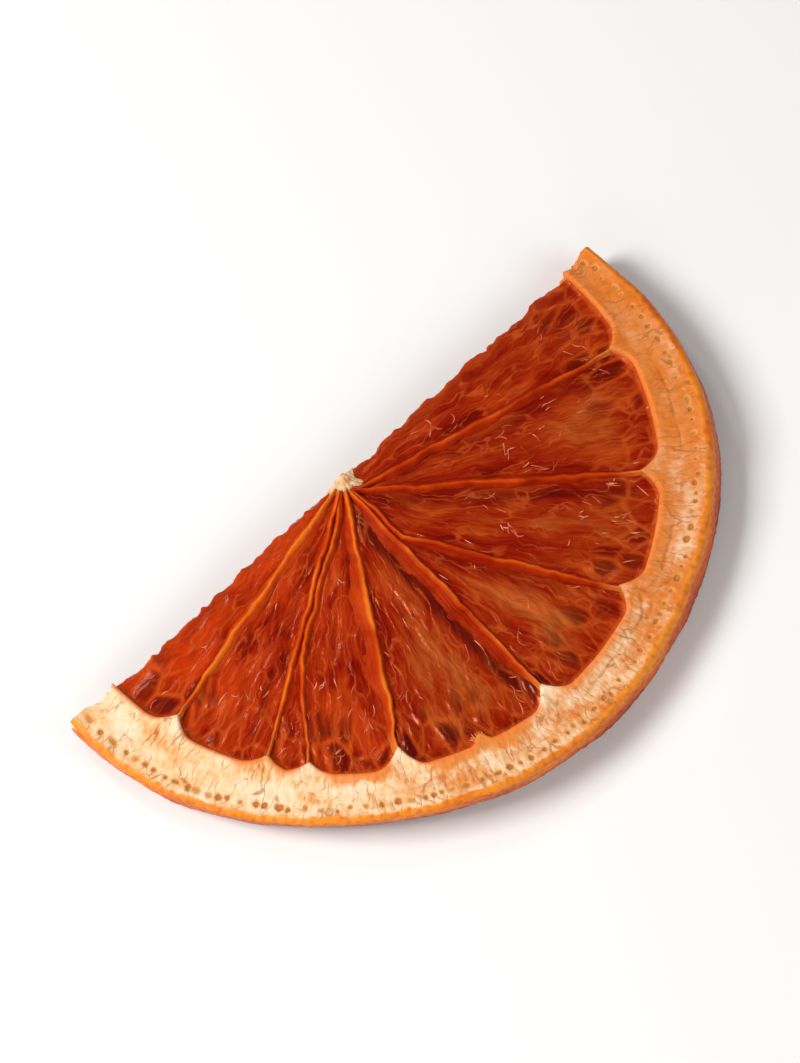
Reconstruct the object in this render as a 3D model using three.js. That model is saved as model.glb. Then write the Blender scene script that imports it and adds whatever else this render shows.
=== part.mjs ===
// A dried half slice of red grapefruit, lying flat with its wider face up.
//
// The slice is one closed solid: a tall ring of pith with its zest outside, and inside it the flesh,
// which has dried thinner than the ring, divided by thin upright skins that run from the rind
// towards the core. The straight cut edge runs along +X, the rind faces -Y, and +Z is up.
// Angles go round the arc in degrees: 0 at the left end of the cut (-X), 90 at the front (-Y)
// and 180 at the right end (+X). Lengths are in millimetres.

import * as THREE from 'three';

// The rind.
const RADIUS = 42;
const RIND_HEIGHT = 5.4;
const WALL_BULGE = 0.25;
const EDGE_ROUNDING = 0.5;
const PITH_WIDTH = 5.9;
const PITH_DISH = 0.35;
const PITH_STEP = 0.6;

// The flesh and the skins between its segments.
const FLESH_BOTTOM = 1.7;
const FLESH_TOP = 4.2;
const FLESH_SAG = 0.3;
const CORNER_WIDTH = 3.2;
const RIDGE_HALF_WIDTH = 0.5;
const RIDGE_HEIGHT = 0.6;

// Skins that meet stay this far apart on their way to the core, in millimetres and in degrees.
const LEAST_GAP = 0.7;
const WIDEST_GAP = 7.5;

// Each skin: where it meets the rind, how far its line misses the core, and how far the pith's
// pointed cusp reaches inwards along it.
const SKINS = [
  { angle: 12, miss: 0, cusp: 2.0 },
  { angle: 31, miss: 0, cusp: 1.4 },
  { angle: 39, miss: 6, cusp: 1.3 },
  { angle: 56, miss: 0, cusp: 2.7 },
  { angle: 87, miss: 0.5, cusp: 2.5 },
  { angle: 113, miss: 5.2, cusp: 2.1 },
  { angle: 137, miss: 1.5, cusp: 2.3 },
  { angle: 163, miss: 2, cusp: 1.9 },
];
const ARC = 180;

// The core of pith that the skins meet in, halved by the cut.
const CORE_RADIUS = 2.8;
const CORE_RISE = 0.5;

// How the slice has curled: a low dome over the whole, and a rim that rises and dips.
const DOME = 1.5;
const RIM_LIFTS = [{ turns: 4, phase: -150, height: 0.6 }];
const CURL_POWER = 3;

// Unevenness: the rim and the flesh are not quite round, the wall leans in at the left and out at
// the right, because the fruit was cut on a slant, and the cut edge is not quite straight.
const RIM_WAVES = [
  { turns: 3, phase: 30, height: 0.6 },
  { turns: 5, phase: 52, height: 0.4 },
];
const FLESH_WAVES = [
  { turns: 1, phase: -73, height: 0.5 },
  { turns: 2, phase: 95, height: 0.3 },
];
const WALL_LEAN = 0.15;
const WALL_LEAN_WAVES = [
  { turns: 1, phase: -113, height: 0.9 },
  { turns: 2, phase: -175, height: 0.75 },
];
const CUT_WAVES = [
  { pitch: 7.5, phase: 1.1, height: 0.3 },
  { pitch: 3.1, phase: 0.4, height: 0.2 },
];
const CUT_WAVE_START = 12;

// How finely the solid is divided.
const COLUMN_SPACING = 4;
const SKIN_COLUMNS = [
  { distance: RIDGE_HALF_WIDTH, share: 0.14 },
  { distance: 1.3, share: 0.25 },
  { distance: CORNER_WIDTH, share: 0.36 },
];
const FLESH_ROWS = [0.03, 0.075, 0.16, 0.3, 0.48, 0.66, 0.82, 0.93, 1];
const PITH_ROWS = [0.33, 0.68];

// Less than any length that matters, so that nothing is divided by zero.
const TINY = 0.01;

// How often a point's radius is worked out again after its angle has changed.
const SETTLING_STEPS = 3;

const FLESH_COLOUR = 0xb4381c;

const radians = THREE.MathUtils.degToRad;
const degrees = THREE.MathUtils.radToDeg;
const clamp = THREE.MathUtils.clamp;
const lerp = THREE.MathUtils.lerp;

const fleshRadius = RADIUS - PITH_WIDTH;

/** The angle of a skin's straight line at a distance r from the core, without its neighbours. */
function lineAngle({ angle, miss }, r) {
  const turned = (distance) => degrees(Math.asin(clamp(miss / distance, -1, 1)));
  return angle + turned(fleshRadius) - turned(Math.max(r, TINY));
}

/** The angles at r of both cut ends and of all the skins, each kept clear of the one before it. */
function boundaryAngles(r) {
  const gap = Math.min(degrees(LEAST_GAP / Math.max(r, TINY)), WIDEST_GAP);
  const angles = [0];
  for (const skin of SKINS) {
    angles.push(Math.max(lineAngle(skin, r), angles.at(-1) + gap));
  }
  angles.push(ARC);
  return angles;
}

/** The sum of waves that run round the arc. */
function waves(list, angle) {
  let sum = 0;
  for (const { turns, phase, height } of list) {
    sum += height * Math.sin(radians(turns * angle + phase));
  }
  return sum;
}

/** The radius of the rim's upper edge. */
function rimRadius(angle) {
  return RADIUS + waves(RIM_WAVES, angle);
}

/** How far the wall's foot stands out past its upper edge. */
function wallLean(angle) {
  return WALL_LEAN + waves(WALL_LEAN_WAVES, angle);
}

/** Where the flesh ends and the pith begins: rounded segment ends with cusps between them. */
function fleshEnd(angle) {
  let inset = 0;
  for (const { angle: skinAngle, cusp } of SKINS) {
    const distance = radians(Math.abs(angle - skinAngle)) * fleshRadius;
    inset = Math.max(inset, cusp * Math.max(0, 1 - distance / CORNER_WIDTH) ** 2);
  }
  return fleshRadius + waves(FLESH_WAVES, angle) - inset;
}

/** How far the curled slice lifts at a point. */
function lift(r, angle) {
  const share = r / RADIUS;
  return DOME * (1 - share ** 2) + waves(RIM_LIFTS, angle) * share ** CURL_POWER;
}

/** How far the cut edge bulges outwards at a distance r from the core. */
function cutBulge(r) {
  let bulge = 0;
  for (const { pitch, phase, height } of CUT_WAVES) {
    bulge += height * (0.5 + 0.5 * Math.sin((2 * Math.PI * r) / pitch + phase));
  }
  return bulge * Math.min(1, r / CUT_WAVE_START);
}

/** One column of the grid: the segment it is in, and its place across that segment. */
function segmentColumns(segment) {
  const outer = boundaryAngles(fleshRadius);
  const width = radians(outer[segment + 1] - outer[segment]) * fleshRadius;
  const columns = [{ segment, place: () => 0 }];
  for (const { distance, share } of SKIN_COLUMNS) {
    columns.push({ segment, place: (w) => Math.min(distance / w, share) });
  }
  const last = SKIN_COLUMNS.at(-1);
  const between = Math.max(1, Math.round((width - 2 * last.distance) / COLUMN_SPACING));
  for (let i = 1; i <= between; i += 1) {
    const step = i / (between + 1);
    const place = (w) => {
      const edge = Math.min(last.distance / w, last.share);
      return lerp(edge, 1 - edge, step);
    };
    columns.push({ segment, place });
  }
  for (const { distance, share } of [...SKIN_COLUMNS].reverse()) {
    columns.push({ segment, place: (w) => 1 - Math.min(distance / w, share) });
  }
  return columns;
}

/** The angle of a column at r, and how far across its segment it is, from 0 to 1. */
function columnAt(column, r) {
  const angles = boundaryAngles(r);
  const start = angles[column.segment];
  const end = angles[column.segment + 1];
  const width = Math.max(radians(end - start) * r, TINY);
  const across = column.place(width);
  return { angle: lerp(start, end, across), across, width };
}

/** The height of the ridge where a column lies near a skin; the cut ends have none. */
function ridgeAt({ segment, across, width }) {
  const toLeft = segment === 0 ? Infinity : across * width;
  const toRight = segment === SKINS.length ? Infinity : (1 - across) * width;
  const distance = Math.min(toLeft, toRight);
  return RIDGE_HEIGHT * Math.max(0, 1 - distance / RIDGE_HALF_WIDTH);
}

/** A grid point's radius, angle, and upper and lower heights, in the flesh at a share of its length. */
function fleshPoint(column, share) {
  let r = share * fleshRadius;
  for (let i = 0; i < SETTLING_STEPS; i += 1) {
    r = share * fleshEnd(columnAt(column, r).angle);
  }
  const { angle, across, width } = columnAt(column, r);
  const ridge = ridgeAt({ segment: column.segment, across, width });
  const sag = FLESH_SAG * Math.sin(Math.PI * across) * Math.sin(Math.PI * share);
  const core = CORE_RISE * clamp(2 - r / CORE_RADIUS, 0, 1);
  const swell = Math.max(ridge, core) - sag;
  return { r, lowerR: r, angle, top: FLESH_TOP + swell, bottom: FLESH_BOTTOM - swell };
}

/** A grid point in the pith, at a share of the way from the flesh to the rim. */
function pithPoint(column, share, drop) {
  const { angle } = columnAt(column, fleshRadius);
  const start = fleshEnd(angle);
  const rim = rimRadius(angle);
  const r = lerp(start, rim, share);
  const lowerR = lerp(start, rim + wallLean(angle), share);
  const dish = PITH_DISH * Math.sin(Math.PI * share);
  return { r, lowerR, angle, top: RIND_HEIGHT - dish - drop, bottom: dish + drop };
}

/** A point of the solid from its place in the round, before the slice is set on the floor. */
function solidPoint(r, angle, height, isCut) {
  const turn = radians(angle);
  const x = -r * Math.cos(turn);
  const y = -r * Math.sin(turn) + (isCut ? cutBulge(r) : 0);
  return new THREE.Vector3(x, y, height + lift(r, angle));
}

/** A column's section, from the core over the upper face, down the rind and back underneath. */
function section(column, isCut) {
  const { angle } = columnAt(column, fleshRadius);
  const rindWidth = rimRadius(angle) - fleshEnd(angle);
  const points = FLESH_ROWS.map((share) => fleshPoint(column, share));
  points.push(pithPoint(column, PITH_STEP / rindWidth, 0));
  for (const share of PITH_ROWS) {
    points.push(pithPoint(column, share, 0));
  }
  points.push(pithPoint(column, 1 - EDGE_ROUNDING / rindWidth, 0));
  points.push(pithPoint(column, 1, EDGE_ROUNDING));
  const upper = points.map((p) => solidPoint(p.r, p.angle, p.top, isCut));
  const lower = points.map((p) => solidPoint(p.lowerR, p.angle, p.bottom, isCut));
  const middleRadius = rimRadius(angle) + wallLean(angle) / 2 + WALL_BULGE;
  const middle = solidPoint(middleRadius, angle, RIND_HEIGHT / 2, isCut);
  return [...upper, middle, ...lower.reverse()];
}

/** All the columns round the arc, with a last one on the right end of the cut. */
function allColumns() {
  const columns = [];
  for (let segment = 0; segment <= SKINS.length; segment += 1) {
    columns.push(...segmentColumns(segment));
  }
  columns.push({ segment: SKINS.length, place: () => 1 });
  return columns;
}

/** The closed solid: the sections joined side by side, with both cut faces filled. */
function sliceGeometry() {
  const columns = allColumns();
  const sections = columns.map((column, i) => section(column, i === 0 || i === columns.length - 1));
  const length = sections[0].length;
  const coreTop = solidPoint(0, 0, FLESH_TOP + CORE_RISE, false);
  const coreBottom = solidPoint(0, 0, FLESH_BOTTOM - CORE_RISE, false);
  const points = [...sections.flat(), coreTop, coreBottom];
  const top = points.length - 2;
  const bottom = points.length - 1;
  const at = (column, k) => column * length + k;
  const faces = [];
  const quad = (a, b, c, d) => faces.push(a, b, c, a, c, d);

  for (let i = 0; i + 1 < sections.length; i += 1) {
    faces.push(top, at(i, 0), at(i + 1, 0));
    faces.push(bottom, at(i + 1, length - 1), at(i, length - 1));
    for (let k = 0; k + 1 < length; k += 1) {
      quad(at(i, k), at(i, k + 1), at(i + 1, k + 1), at(i + 1, k));
    }
  }

  const rows = (length - 1) / 2;
  for (const [column, flip] of [[0, false], [sections.length - 1, true]]) {
    const face = (...corners) => faces.push(...(flip ? corners.reverse() : corners));
    face(top, bottom, at(column, length - 1));
    face(top, at(column, length - 1), at(column, 0));
    for (let k = 0; k + 1 < rows; k += 1) {
      const under = length - 1 - k;
      face(at(column, k), at(column, under), at(column, under - 1));
      face(at(column, k), at(column, under - 1), at(column, k + 1));
    }
    face(at(column, rows - 1), at(column, rows + 1), at(column, rows));
  }

  const geometry = new THREE.BufferGeometry().setFromPoints(points);
  geometry.setIndex(faces);
  return geometry;
}

/** Sets the slice on the floor, with the middle of its outline over the origin. */
function setDown(geometry) {
  geometry.computeBoundingBox();
  const { min, max } = geometry.boundingBox;
  geometry.translate(-(min.x + max.x) / 2, -(min.y + max.y) / 2, -min.z);
  geometry.computeVertexNormals();
  return geometry;
}

const slice = new THREE.Mesh(
  setDown(sliceGeometry()),
  new THREE.MeshStandardMaterial({ color: FLESH_COLOUR, roughness: 0.45, metalness: 0 }),
);
slice.name = 'grapefruit_slice';

const part = new THREE.Group();
part.add(slice);

export default part;
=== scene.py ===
# %% [markdown]
# # A dried half slice of red grapefruit
# The real slice is a half moon about 84 mm long. A tall ring of spongy pith with orange zest
# round it stays nearly as thick as it was cut, while the juicy flesh inside dries to a thin,
# glassy sheet. Upright skins divide the flesh into segments, and the whole slice curls a little.
#
# It is made here in six pieces that sit in each other: the rind, the pulp, the skins between
# the segments, the halved core, the raised walls of juice sacs that shine on the flesh, and a
# tuft of torn fibres where the pith pokes into one segment.

# %% Load the frame and start with nothing selected
import math

import bpy
import numpy as np
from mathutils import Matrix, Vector, noise


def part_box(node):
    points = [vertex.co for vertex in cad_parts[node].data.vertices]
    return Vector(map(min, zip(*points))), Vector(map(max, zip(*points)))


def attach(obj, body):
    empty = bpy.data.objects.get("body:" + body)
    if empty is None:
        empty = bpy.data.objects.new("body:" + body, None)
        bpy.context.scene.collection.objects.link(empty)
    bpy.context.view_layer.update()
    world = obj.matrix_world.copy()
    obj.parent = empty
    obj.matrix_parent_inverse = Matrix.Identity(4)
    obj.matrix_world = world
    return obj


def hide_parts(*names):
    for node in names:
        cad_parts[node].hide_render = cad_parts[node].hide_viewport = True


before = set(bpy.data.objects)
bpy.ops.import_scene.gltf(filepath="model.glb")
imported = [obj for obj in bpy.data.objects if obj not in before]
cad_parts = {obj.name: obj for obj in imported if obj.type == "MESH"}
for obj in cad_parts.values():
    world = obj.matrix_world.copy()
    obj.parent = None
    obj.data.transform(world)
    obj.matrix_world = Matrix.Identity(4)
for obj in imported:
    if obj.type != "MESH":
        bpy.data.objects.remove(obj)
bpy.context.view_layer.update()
bpy.ops.object.select_all(action="DESELECT")

# %% [markdown]
# ## The slice's real sizes
# All lengths are in metres, because Blender and the frame use metres; MM keeps them readable.
# Angles go round the arc in degrees from the left end of the cut, 0, past the front, 90, to the
# right end, 180. Each skin has the angle where it meets the rind, how far its line misses the
# core, and how far the pith's pointed cusp reaches in along it. A wave that runs round the arc
# is a row too: its number of turns, where it starts, in degrees, and its height.

# %% Named sizes
MM = 0.001
RADIUS = 42 * MM
RIND_HEIGHT = 5.4 * MM
WALL_BULGE = 0.25 * MM
PITH_WIDTH = 5.9 * MM
FLESH_RADIUS = RADIUS - PITH_WIDTH
FLESH_BOTTOM = 1.7 * MM
FLESH_TOP = 4.2 * MM
CORNER_WIDTH = 3.2 * MM
SKINS = [
    (12.0, 0.0 * MM, 2.0 * MM),
    (31.0, 0.0 * MM, 1.4 * MM),
    (39.0, 6.0 * MM, 1.3 * MM),
    (56.0, 0.0 * MM, 2.7 * MM),
    (87.0, 0.5 * MM, 2.5 * MM),
    (113.0, 5.2 * MM, 2.1 * MM),
    (137.0, 1.5 * MM, 2.3 * MM),
    (163.0, 2.0 * MM, 1.9 * MM),
]
ARC = 180.0
LEAST_GAP = 0.7 * MM
WIDEST_GAP = 7.5
DOME = 1.5 * MM
CURL_POWER = 3
RIM_LIFTS = [(4, -150.0, 0.6 * MM)]
RIM_WAVES = [(3, 30.0, 0.6 * MM), (5, 52.0, 0.4 * MM)]
FLESH_WAVES = [(1, -73.0, 0.5 * MM), (2, 95.0, 0.3 * MM)]
SPUR_ANGLE = 71.5
SPUR_REACH = 1.2 * MM
SPUR_WIDTH = 0.8 * MM
WALL_LEAN = 0.15 * MM
WALL_LEAN_WAVES = [(1, -113.0, 0.9 * MM), (2, -175.0, 0.75 * MM)]
TINY = 0.01 * MM

# %% [markdown]
# ## The form, as functions
# Every piece is first modelled flat and regular, and then each point is moved to its place on
# the real, uneven slice. These functions say where that is. They work on whole arrays of
# points at once, which is much faster than one point at a time.

# %% Where the skins, the flesh and the rim are
def skin_angles(r):
    """The angles of the cut ends and of each skin at distances r from the core, a row for each.
    Skins keep a small gap between them, which near the core is an angle of a few degrees."""
    gap = np.minimum(np.degrees(LEAST_GAP / np.maximum(r, TINY)), WIDEST_GAP)
    rows = [np.zeros_like(r)]
    for angle, miss, _ in SKINS:
        outer = math.degrees(math.asin(miss / FLESH_RADIUS))
        inner = np.degrees(np.arcsin(np.clip(miss / np.maximum(r, TINY), -1, 1)))
        rows.append(np.maximum(angle + outer - inner, rows[-1] + gap))
    rows.append(np.full_like(r, ARC))
    return np.array(rows)


def waves(rows, angle):
    """The sum of waves that run round the arc."""
    return sum(height * np.sin(np.radians(turns * angle + phase)) for turns, phase, height in rows)


def flesh_end(angle):
    """How far from the core the flesh ends: round segment ends, cusps between them, one spur."""
    from_spur = np.radians(angle - SPUR_ANGLE) * FLESH_RADIUS
    inset = SPUR_REACH * np.exp(-((from_spur / SPUR_WIDTH) ** 2))
    for skin, _, cusp in SKINS:
        away = np.radians(np.abs(angle - skin)) * FLESH_RADIUS
        inset = np.maximum(inset, cusp * np.clip(1 - away / CORNER_WIDTH, 0, 1) ** 2)
    return FLESH_RADIUS + waves(FLESH_WAVES, angle) - inset


def rim_radius(angle):
    """The radius of the rim's upper edge, which is not quite round."""
    return RADIUS + waves(RIM_WAVES, angle)


def wall_lean(angle):
    """How far the wall's foot stands out past its upper edge."""
    return WALL_LEAN + waves(WALL_LEAN_WAVES, angle)


def lift(r, angle):
    """How far the curled slice lifts: a low dome, and a rim that rises and dips."""
    share = r / RADIUS
    return DOME * (1 - share**2) + waves(RIM_LIFTS, angle) * share**CURL_POWER


# %% Where the core stands in the frame
RIM_SAMPLES = 721


def core_place():
    """The core's place: the rim's ends and front touch the box of the CAD solid."""
    low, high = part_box("grapefruit_slice")
    angles = np.linspace(0, ARC, RIM_SAMPLES)
    upper = rim_radius(angles)
    lower = upper + wall_lean(angles)
    widest = np.maximum(upper, lower)
    sideways = -widest * np.cos(np.radians(angles))
    front = np.max(widest * np.sin(np.radians(angles)))
    middle = (low.x + high.x) / 2 - (sideways.min() + sideways.max()) / 2
    return np.array([middle, low.y + front, low.z - np.min(lift(lower, angles))])


CORE = core_place()
print("core at, in millimetres:", (1000 * CORE).round(2))


def to_places(r, angle, height):
    """Points of the slice as x, y, z, from radius, angle and height over the flat slice."""
    turn = np.radians(angle)
    flat = np.column_stack([-r * np.cos(turn), -r * np.sin(turn), height + lift(r, angle)])
    return flat + CORE


# %% [markdown]
# ## Small tools
# Food is uneven at every scale, so most shapes need noise. Blender's own fractal noise gives
# soft lumps, and a pattern of cells gives what has walls, such as juice sacs and oil glands.
# A cell pattern drops one seed at random into each square of a grid. At any point, the
# difference between the distances to the two nearest seeds is 0 on a wall. A seed number moves
# each use to another part of the noise, so that it looks unlike the others.

# %% Noise and cells
NOISE_SHIFT = 11.3
CELL_GRID = 64
FARTHEST = 9.0


def smooth(low, high, value):
    """0 below low, 1 above high and a soft step between."""
    t = np.clip((value - low) / (high - low), 0, 1)
    return t * t * (3 - 2 * t)


def lumps(x, y, z, size, seed, octaves=3):
    """Fractal noise of about -1 to 1 whose lumps are about as far apart as size."""
    shift = NOISE_SHIFT * seed
    rows = zip((x / size + shift).tolist(), (y / size).tolist(), (z / size).tolist())
    return np.array([noise.fractal(Vector(row), 1.0, 2.0, octaves) for row in rows])


def cells(u, v, seed):
    """For points in units of one cell: distance to the nearest seed, gap to the wall, and a
    random number from 0 to 1 for the cell."""
    table = np.random.default_rng(seed).random((CELL_GRID, CELL_GRID, 3))
    column, row = np.floor(u).astype(int), np.floor(v).astype(int)
    first = np.full(len(u), FARTHEST)
    second = np.full(len(u), FARTHEST)
    mark = np.zeros(len(u))
    for i in (-1, 0, 1):
        for j in (-1, 0, 1):
            seeds = table[(column + i) % CELL_GRID, (row + j) % CELL_GRID]
            away = np.hypot(column + i + seeds[:, 0] - u, row + j + seeds[:, 1] - v)
            nearer = away < first
            second = np.where(nearer, first, np.minimum(second, away))
            mark = np.where(nearer, seeds[:, 2], mark)
            first = np.where(nearer, away, first)
    return first, second - first, mark


# %% Meshes as arrays
def read_points(piece):
    """The piece's points as an array with a row for each."""
    points = np.empty(3 * len(piece.data.vertices))
    piece.data.vertices.foreach_get("co", points)
    return points.reshape(-1, 3)


def move_points(piece, places):
    """Puts every point of the piece in its new place."""
    piece.data.vertices.foreach_set("co", np.ascontiguousarray(places, dtype=np.float32).ravel())
    piece.data.update()


def paint(piece, name, values):
    """Keeps one number for each point, which a material can read by this name."""
    kept = piece.data.attributes.new(name, "FLOAT", "POINT")
    kept.data.foreach_set("value", np.asarray(values, dtype=np.float32))


def paint_place(piece, name, x, y, z):
    """Keeps a place for each point, which a material can read by this name."""
    kept = piece.data.attributes.new(name, "FLOAT_VECTOR", "POINT")
    kept.data.foreach_set("vector", np.column_stack([x, y, z]).astype(np.float32).ravel())


def select_only(*pieces):
    """Selects these pieces and nothing else, and makes the first one active."""
    bpy.ops.object.select_all(action="DESELECT")
    for piece in pieces:
        piece.select_set(True)
    bpy.context.view_layer.objects.active = pieces[0]


def face_outwards(piece):
    """Turns all faces outwards and shades them smooth."""
    select_only(piece)
    bpy.ops.object.mode_set(mode="EDIT")
    bpy.ops.mesh.select_all(action="SELECT")
    bpy.ops.mesh.normals_make_consistent(inside=False)
    bpy.ops.object.mode_set(mode="OBJECT")
    bpy.ops.object.shade_smooth()


def report(piece):
    """Prints how many triangles the piece has."""
    piece.data.calc_loop_triangles()
    print(piece.name, "has", len(piece.data.loop_triangles), "triangles")


def report_range(what, lengths):
    """Prints the least and the greatest of these lengths."""
    print(what, "in millimetres:", (lengths.min() / MM).round(2), "to", (lengths.max() / MM).round(2))


# %% [markdown]
# ## The rind
# The rind is a band of white pith with a skin of zest. Its section hardly changes along the
# arc, so it is drawn once, as an upright grid at the left end of the cut, and spun half a turn
# round the core. The spin also closes both ends. The mesh is then subdivided until its faces
# are under 0.2 mm, so that glands, creases and dimples can be real dents.

# %% Spin the section
RIND_COLUMNS = 8
RIND_ROWS = 7
RIND_STEPS = 190
RIND_CUTS = 3

bpy.ops.mesh.primitive_grid_add(
    x_subdivisions=RIND_COLUMNS, y_subdivisions=RIND_ROWS, size=1, rotation=(math.pi / 2, 0, 0)
)
rind = bpy.context.object
rind.name = "rind"
bpy.ops.object.mode_set(mode="EDIT")
bpy.ops.transform.resize(value=(PITH_WIDTH, 1, RIND_HEIGHT))
bpy.ops.transform.translate(value=(-(FLESH_RADIUS + PITH_WIDTH / 2), 0, RIND_HEIGHT / 2))
bpy.ops.mesh.spin(steps=RIND_STEPS, angle=-math.pi, center=(0, 0, 0), axis=(0, 0, 1))
bpy.ops.mesh.select_all(action="SELECT")
bpy.ops.mesh.subdivide(number_cuts=RIND_CUTS)
bpy.ops.object.mode_set(mode="OBJECT")
bpy.ops.object.transform_apply(location=True, rotation=True, scale=True)
report(rind)

# %% Read each point's place in the section
def round_the_core(points):
    """The points' angles round the core, in degrees from the left end of the cut."""
    turn = np.degrees(np.arctan2(-points[:, 1], -points[:, 0]))
    return np.clip(np.where(turn < -90, turn + 360, turn), 0, ARC)


flat = read_points(rind)
across = np.clip((np.hypot(flat[:, 0], flat[:, 1]) - FLESH_RADIUS) / PITH_WIDTH, 0, 1)
upward = np.clip(flat[:, 2] / RIND_HEIGHT, 0, 1)
angle = round_the_core(flat)
print("arc of the rind, in degrees:", angle.min().round(2), "to", angle.max().round(2))

# %% [markdown]
# Now the plain band gets its true section. The wall's foot stands back at the left and out at
# the right, because the fruit was cut on a slant. Its edges are rounded, the foot more than the
# top.
# The zest is a dimpled skin: each dimple is an oil gland that has dried hollow. Fine grain,
# soft folds and a slow wander of the rim are noise at three sizes.

# %% The rind's walls
EDGE_ROUND = 0.5 * MM
FOOT_ROUND = 1.1 * MM
DIMPLE_LENGTH = 1.0 * MM
DIMPLE_HEIGHT = 0.8 * MM
DIMPLE_DEPTH = 0.12 * MM
GRAIN_DEPTH = 0.07 * MM
FOLD_DEPTH = 0.14 * MM
RIM_WANDER = 0.2 * MM
arc_length = np.radians(angle) * RADIUS


def rounding(distance, radius):
    """How far a rounded edge falls back at a distance from where the edge would be."""
    t = np.clip(1 - distance / radius, 0, 1)
    return radius * (1 - np.sqrt(1 - t**2))


inner = flesh_end(angle)
level = upward * RIND_HEIGHT
wall = rim_radius(angle) + wall_lean(angle) * (1 - upward) + WALL_BULGE * np.sin(np.pi * upward)
wall -= rounding(RIND_HEIGHT - level, EDGE_ROUND) + rounding(level, FOOT_ROUND)
on_wall = across**6

dimple_near, _, _ = cells(arc_length / DIMPLE_LENGTH, level / DIMPLE_HEIGHT, seed=5)
dimple = smooth(0.45, 0.05, dimple_near)
grain = lumps(arc_length / 2.5, level, 0 * angle, size=0.4 * MM, seed=3)
folds = lumps(arc_length / 3, level * 1.3, 0 * angle, size=2.2 * MM, seed=4)
wander = lumps(arc_length, 0 * angle, 0 * angle, size=9 * MM, seed=6, octaves=2)
rough = GRAIN_DEPTH * grain + FOLD_DEPTH * folds + RIM_WANDER * wander
wall += on_wall * (rough - DIMPLE_DEPTH * dimple)
radius = inner + across * (wall - inner)
from_wall = wall - radius
from_flesh = radius - inner
report_range("radius of the rind", radius)

# %% [markdown]
# The pith's two cut faces are dished and have slumped in soft waves. On top of that they are
# spongy, and wrinkled across the band. The underside is dished a little less.

# %% The pith's faces
PITH_DISH = 0.35 * MM
UNDER_DISH = 0.28 * MM
SLUMP = 0.2 * MM
SPONGE_DEPTH = 0.06 * MM
WRINKLE_DEPTH = 0.06 * MM
UNDER_SPONGE_DEPTH = 0.08 * MM
INNER_ROUND = 0.6 * MM
slump = lumps(arc_length, radius, 0 * angle, size=7 * MM, seed=8, octaves=2)
sponge = lumps(arc_length, radius, 0 * angle, size=1.1 * MM, seed=9)
wrinkles = lumps(arc_length * 3, radius, 0 * angle, size=2.0 * MM, seed=10, octaves=2)
under_sponge = lumps(arc_length, radius, 0 * angle, size=1.3 * MM, seed=19)
dish = np.sin(np.pi * across)
inner_round = rounding(across * PITH_WIDTH, INNER_ROUND)
top = RIND_HEIGHT - PITH_DISH * dish - inner_round
top += SLUMP * slump + SPONGE_DEPTH * sponge + WRINKLE_DEPTH * wrinkles
bottom = UNDER_DISH * dish + UNDER_SPONGE_DEPTH * np.abs(under_sponge) + inner_round
report_range("height of the rind", top - bottom)

# %% [markdown]
# Oil glands that lie just under the zest were cut through, and show on the pith's face as a row
# of brown pits along its outer edge. They are unequal in size, smaller towards the right end,
# and some are long ovals. Each is a shallow bowl, and its depth is also kept as a number that
# the material uses for the brown.

# %% Gland pits
GLAND_SPACING = 1.6 * MM
GLAND_INSET = 1.3 * MM
GLAND_SCATTER = 0.13 * MM
GLAND_DEPTH = 0.25 * MM
GLAND_SIZES = (0.4 * MM, 0.75 * MM)
GLAND_SHRINK = 0.25
GLAND_STRETCHES = [0.85, 1.0, 1.25, 1.6]
STRETCH_CHANCES = [0.3, 0.4, 0.2, 0.1]


def gland_pits(seed):
    """How deep into a gland each point lies, from 0 to 1, for one face of the rind."""
    draw = np.random.default_rng(seed)
    depth = np.zeros_like(angle)
    ragged = 1 + 0.35 * lumps(arc_length, from_wall, 0 * angle, size=0.5 * MM, seed=seed)
    rim_length = math.radians(ARC) * RADIUS
    place = GLAND_SPACING / 2
    count = 0
    while place < rim_length:
        inset = GLAND_INSET + draw.normal(0, GLAND_SCATTER)
        shrink = 1 - GLAND_SHRINK * place / rim_length
        size = draw.uniform(*GLAND_SIZES) * shrink
        stretch = draw.choice(GLAND_STRETCHES, p=STRETCH_CHANCES)
        away = ragged * np.hypot((arc_length - place) / stretch, from_wall - inset) / size
        depth = np.maximum(depth, draw.uniform(0.5, 1.0) * (1 - smooth(0.3, 1.0, away)))
        place += GLAND_SPACING * draw.uniform(0.6, 1.35)
        count += 1
    print("gland pits on this face:", count)
    return depth


glands_above = gland_pits(seed=21)
glands_below = gland_pits(seed=22)
top -= GLAND_DEPTH * glands_above
bottom += GLAND_DEPTH * glands_below

# %% [markdown]
# The pith has dried in long creases that follow the rim, open in some places and closed in
# others. Where a segment was juicy, juice has soaked into the pith beside it and dried orange.
# Each crease is one row: the angles where it starts and ends, its place across the band as a
# share, and its depth. Its width and its wobble are shares too, and its soft ends are in
# degrees. Each stain is one row as well: its angles, its reach and its strength. A thin orange
# edge runs all along the flesh except on the cusps, and is fainter towards the right.

# %% Creases and stains
CREASES = [
    (58, 84, 0.56, 0.1 * MM),
    (90, 131, 0.36, 0.2 * MM),
    (98, 124, 0.56, 0.12 * MM),
    (140, 158, 0.45, 0.15 * MM),
]
CREASE_WIDTH = 0.028
CREASE_WOBBLE = 0.06
SOFT_END = 2
JUICY_EDGE = (0.3 * MM, 0.75 * MM)
STAINS = [
    (24, 38, 1.1 * MM, 0.8),
    (42, 55, 1.5 * MM, 1.0),
    (60, 82, 1.7 * MM, 1.0),
    (90, 104, 1.1 * MM, 0.6),
    (116, 130, 1.3 * MM, 0.7),
    (144, 160, 1.4 * MM, 0.7),
]


def stretch_of_rim(start, end):
    """1 between two angles of the rim and 0 beyond them, with soft ends."""
    return smooth(start, start + SOFT_END, angle) * smooth(end, end - SOFT_END, angle)


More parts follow.
